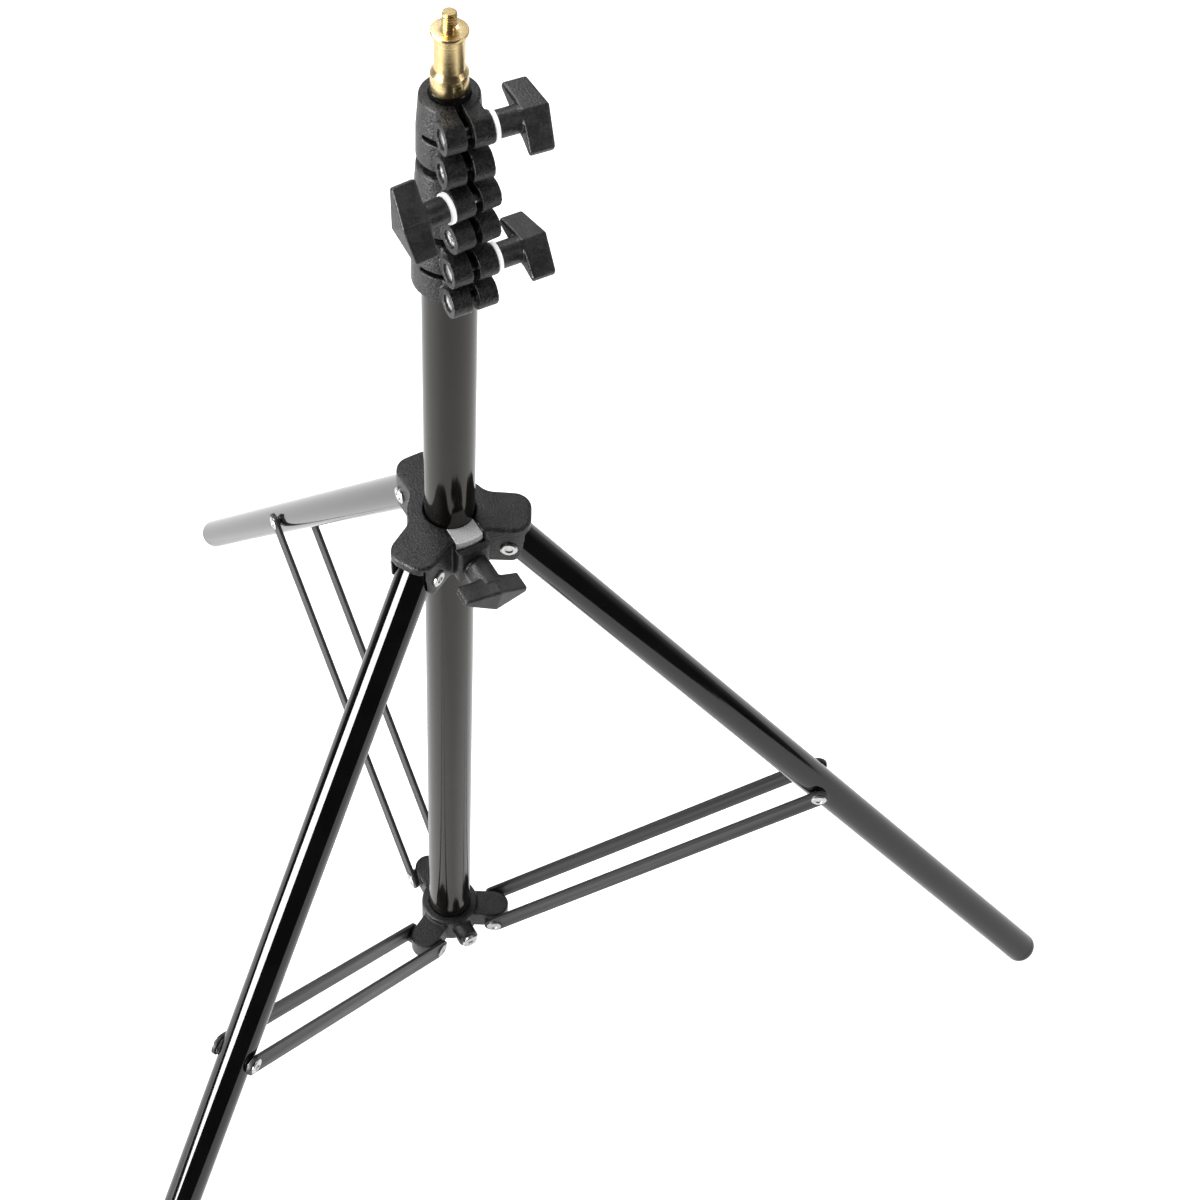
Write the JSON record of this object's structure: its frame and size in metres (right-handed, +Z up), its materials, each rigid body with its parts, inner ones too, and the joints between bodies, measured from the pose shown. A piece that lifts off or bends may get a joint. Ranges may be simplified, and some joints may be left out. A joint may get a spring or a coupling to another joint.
{
  "type": "telescoping tripod lighting stand",
  "caption": "Folding tripod lighting stand with nested mast tubes, wing-knob clamp collars, sliding leg yoke, braced legs and a brass spigot on top.",
  "frame": {"origin": "on the floor plane, on the mast axis, midway between the three feet", "axes": "+Z up along the mast, +X towards the first leg"},
  "size_m": [0.5685, 0.6534, 0.7473],
  "materials": {
    "anodised_tube": "satin black anodised",
    "gloss_tube": "gloss black anodised",
    "brace_paint": "satin black paint",
    "moulded_black": "fine-grained moulded glass-filled nylon",
    "knob_black": "smooth satin moulded plastic",
    "guide_nylon": "plain moulded nylon",
    "white_nylon": "natural nylon",
    "plated_steel": "bright nickel-plated steel",
    "dark_steel": "black oxide",
    "raw_aluminium": "raw cast, fine grain",
    "brass": "polished, turned"
  },
  "bodies": {
    "mast_base": {"mast_tube": "anodised_tube", "mast_foot_plug": "moulded_black", "base_collar": "moulded_black", "base_lock_screw": "plated_steel", "base_rivets": "plated_steel", "collar_1": "moulded_black", "clamp_bolt_1": "plated_steel", "fixing_screw_1": "plated_steel", "fixing_nut_1": "plated_steel"},
    "riser_1": {"riser_tube_1": "anodised_tube", "riser_guide_1": "guide_nylon", "collar_2": "moulded_black", "clamp_bolt_2": "plated_steel", "fixing_screw_2": "plated_steel", "fixing_nut_2": "plated_steel"},
    "riser_2": {"riser_tube_2": "anodised_tube", "riser_guide_2": "guide_nylon", "collar_3": "moulded_black", "clamp_bolt_3": "plated_steel", "fixing_screw_3": "plated_steel", "fixing_nut_3": "plated_steel"},
    "riser_3_guide": {"riser_guide_3": "guide_nylon"},
    "riser_3": {"riser_tube_3": "anodised_tube", "top_stud": "brass"},
    "yoke": {"yoke_casting": "moulded_black", "yoke_rivets": "plated_steel"},
    "yoke_clamp": {"yoke_clamp_shoe": "raw_aluminium", "yoke_washer": "dark_steel"},
    "yoke_knob": {"yoke_knob": "knob_black", "yoke_knob_screw": "plated_steel"},
    "washer_1": {"clamp_washer_1": "white_nylon"},
    "knob_1": {"clamp_knob_1": "knob_black", "knob_insert_1": "brass"},
    "washer_2": {"clamp_washer_2": "white_nylon"},
    "knob_2": {"clamp_knob_2": "knob_black", "knob_insert_2": "brass"},
    "washer_3": {"clamp_washer_3": "white_nylon"},
    "knob_3": {"clamp_knob_3": "knob_black", "knob_insert_3": "brass"},
    "leg_1": {"leg_tube_1": "gloss_tube", "leg_head_1": "gloss_tube", "leg_foot_1": "gloss_tube"},
    "brace_1": {"brace_bars_1": "brace_paint", "brace_rivets_1": "plated_steel", "brace_spacers_1": "plated_steel"},
    "leg_2": {"leg_tube_2": "gloss_tube", "leg_head_2": "gloss_tube", "leg_foot_2": "gloss_tube"},
    "brace_2": {"brace_bars_2": "brace_paint", "brace_rivets_2": "plated_steel", "brace_spacers_2": "plated_steel"},
    "leg_3": {"leg_tube_3": "gloss_tube", "leg_head_3": "gloss_tube", "leg_foot_3": "gloss_tube"},
    "brace_3": {"brace_bars_3": "brace_paint", "brace_rivets_3": "plated_steel", "brace_spacers_3": "plated_steel"}
  },
  "joints": [
    {"name": "riser_1_slide", "type": "slide", "parent": "mast_base", "child": "riser_1", "axis": [0, 0, 1], "range_m": [0, 0.44]},
    {"name": "riser_2_slide", "type": "slide", "parent": "riser_1", "child": "riser_2", "axis": [0, 0, 1], "range_m": [0, 0.44]},
    {"name": "riser_3_slide", "type": "slide", "parent": "riser_2", "child": "riser_3_guide", "axis": [0, 0, 1], "range_m": [0, 0.44]},
    {"name": "riser_3_swivel", "type": "hinge", "parent": "riser_3_guide", "child": "riser_3", "pos_m": [0, 0, 0.7], "axis": [0, 0, 1], "continuous": true},
    {"name": "washer_1_slide", "type": "slide", "parent": "mast_base", "child": "washer_1", "axis": [0.8829, 0.4695, 0], "range_m": [0, 0.0006]},
    {"name": "knob_1_turn", "type": "hinge", "parent": "washer_1", "child": "knob_1", "pos_m": [0.02717, -0.00849, 0.6258], "axis": [0.8829, 0.4695, 0], "range_deg": [0, 270.02]},
    {"name": "washer_2_slide", "type": "slide", "parent": "riser_1", "child": "washer_2", "axis": [-0.8387, -0.5446, 0], "range_m": [0, 0.0006]},
    {"name": "knob_2_turn", "type": "hinge", "parent": "washer_2", "child": "knob_2", "pos_m": [-0.00705, -0.02586, 0.6623], "axis": [-0.8387, -0.5446, 0], "range_deg": [0, 270.02]},
    {"name": "washer_3_slide", "type": "slide", "parent": "riser_2", "child": "washer_3", "axis": [0.9135, 0.4067, 0], "range_m": [0, 0.0006]},
    {"name": "knob_3_turn", "type": "hinge", "parent": "washer_3", "child": "knob_3", "pos_m": [0.02529, -0.00762, 0.6988], "axis": [0.9135, 0.4067, 0], "range_deg": [0, 270.02]},
    {"name": "yoke_slide", "type": "slide", "parent": "mast_base", "child": "yoke", "axis": [0, 0, 1], "range_m": [0, 0.14745]},
    {"name": "yoke_clamp_slide", "type": "slide", "parent": "yoke", "child": "yoke_clamp", "axis": [0.5, -0.866, 0], "range_m": [0, 0.00075]},
    {"name": "yoke_knob_turn", "type": "hinge", "parent": "yoke_clamp", "child": "yoke_knob", "pos_m": [0.015, -0.02598, 0.423], "axis": [0.5, -0.866, 0], "range_deg": [0, 270.02]},
    {"name": "leg_1_fold", "type": "hinge", "parent": "yoke", "child": "leg_1", "pos_m": [0.0302, 0, 0.423], "axis": [0, 1, 0], "range_deg": [0, 36.01]},
    {"name": "brace_1_fold", "type": "hinge", "parent": "mast_base", "child": "brace_1", "pos_m": [0.0287, 0, 0.0343], "axis": [0, -1, 0], "range_deg": [0, 44.67]},
    {"name": "leg_2_fold", "type": "hinge", "parent": "yoke", "child": "leg_2", "pos_m": [-0.0151, 0.02615, 0.423], "axis": [-0.866, -0.5, 0], "range_deg": [0, 36.01]},
    {"name": "brace_2_fold", "type": "hinge", "parent": "mast_base", "child": "brace_2", "pos_m": [-0.01435, 0.02485, 0.0343], "axis": [0.866, 0.5, 0], "range_deg": [0, 44.67]},
    {"name": "leg_3_fold", "type": "hinge", "parent": "yoke", "child": "leg_3", "pos_m": [-0.0151, -0.02615, 0.423], "axis": [0.866, -0.5, 0], "range_deg": [0, 36.01]},
    {"name": "brace_3_fold", "type": "hinge", "parent": "mast_base", "child": "brace_3", "pos_m": [-0.01435, -0.02485, 0.0343], "axis": [-0.866, 0.5, 0], "range_deg": [0, 44.67]}
  ],
  "couplings": [
    {"joint": "knob_1_turn", "follows": "washer_1_slide", "rad_per_m": 7854},
    {"joint": "knob_2_turn", "follows": "washer_2_slide", "rad_per_m": 7854},
    {"joint": "knob_3_turn", "follows": "washer_3_slide", "rad_per_m": 7854},
    {"joint": "yoke_knob_turn", "follows": "yoke_clamp_slide", "rad_per_m": 6283.2},
    {"joint": "leg_1_fold", "follows": "yoke_slide", "rad_per_m": 4.2612},
    {"joint": "brace_1_fold", "follows": "yoke_slide", "rad_per_m": 5.2868},
    {"joint": "leg_2_fold", "follows": "yoke_slide", "rad_per_m": 4.2612},
    {"joint": "brace_2_fold", "follows": "yoke_slide", "rad_per_m": 5.2868},
    {"joint": "leg_3_fold", "follows": "yoke_slide", "rad_per_m": 4.2612},
    {"joint": "brace_3_fold", "follows": "yoke_slide", "rad_per_m": 5.2868}
  ]
}
